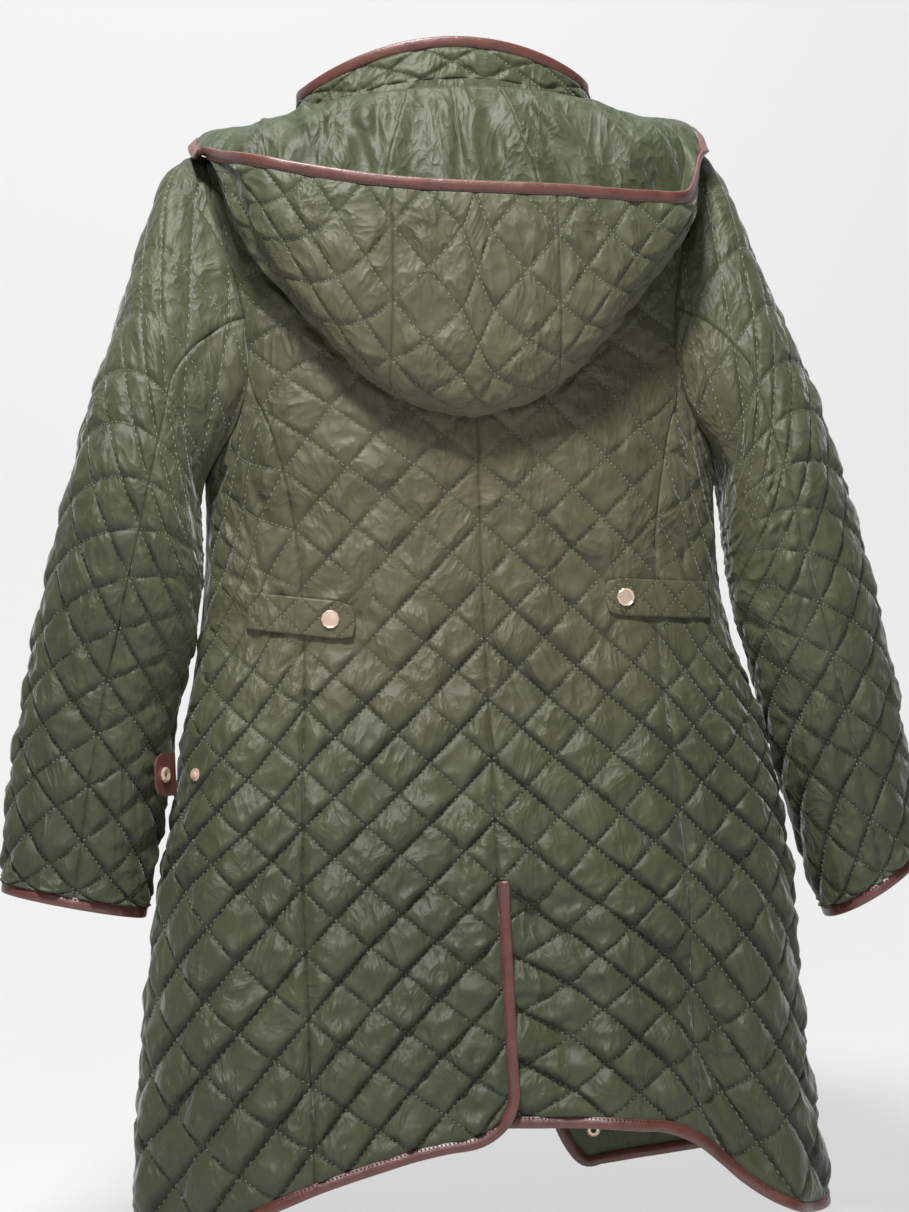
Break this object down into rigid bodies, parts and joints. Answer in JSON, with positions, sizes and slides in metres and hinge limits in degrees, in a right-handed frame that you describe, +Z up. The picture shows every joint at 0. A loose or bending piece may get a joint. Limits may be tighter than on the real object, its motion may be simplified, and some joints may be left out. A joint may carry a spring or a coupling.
{
  "type": "quilted long coat",
  "caption": "Hooded thigh-length diamond-quilted coat, filled out with no wearer, with bound edges, a back vent, waist tabs and snaps.",
  "frame": {"origin": "inside the neck opening, level with the seam between the back and the collar", "axes": "+Z up, +Y the way the coat faces, +X the wearer's right"},
  "size_m": [0.7875, 0.2481, 1.0013],
  "materials": {
    "quilted_nylon": "satin",
    "binding_leather": "satin",
    "snap_metal": "polished"
  },
  "bodies": {
    "root": {"back_left": "quilted_nylon", "back_right": "quilted_nylon", "collar": "quilted_nylon", "collar_binding": "binding_leather", "cuff_binding_left": "binding_leather", "cuff_binding_right": "binding_leather", "front_left": "quilted_nylon", "front_right": "quilted_nylon", "front_snap_cap_1": "snap_metal", "front_snap_cap_2": "snap_metal", "front_snap_cap_3": "snap_metal", "front_snap_cap_4": "snap_metal", "front_snap_cap_5": "snap_metal", "front_snap_cap_6": "snap_metal", "front_snap_socket": "snap_metal", "front_snap_stud": "snap_metal", "hem_binding_left": "binding_leather", "hem_binding_right": "binding_leather", "hood_binding": "binding_leather", "hood_centre": "quilted_nylon", "hood_left": "quilted_nylon", "hood_right": "quilted_nylon", "side_back_left": "quilted_nylon", "side_back_right": "quilted_nylon", "side_front_left": "quilted_nylon", "side_front_right": "quilted_nylon", "side_stud": "snap_metal", "side_tab": "binding_leather", "side_tab_socket": "snap_metal", "sleeve_under_left": "quilted_nylon", "sleeve_under_right": "quilted_nylon", "sleeve_upper_left": "quilted_nylon", "sleeve_upper_right": "quilted_nylon", "waist_snap_cap_left": "snap_metal", "waist_snap_cap_right": "snap_metal", "waist_tab_left": "quilted_nylon", "waist_tab_right": "quilted_nylon"}
  },
  "joints": []
}
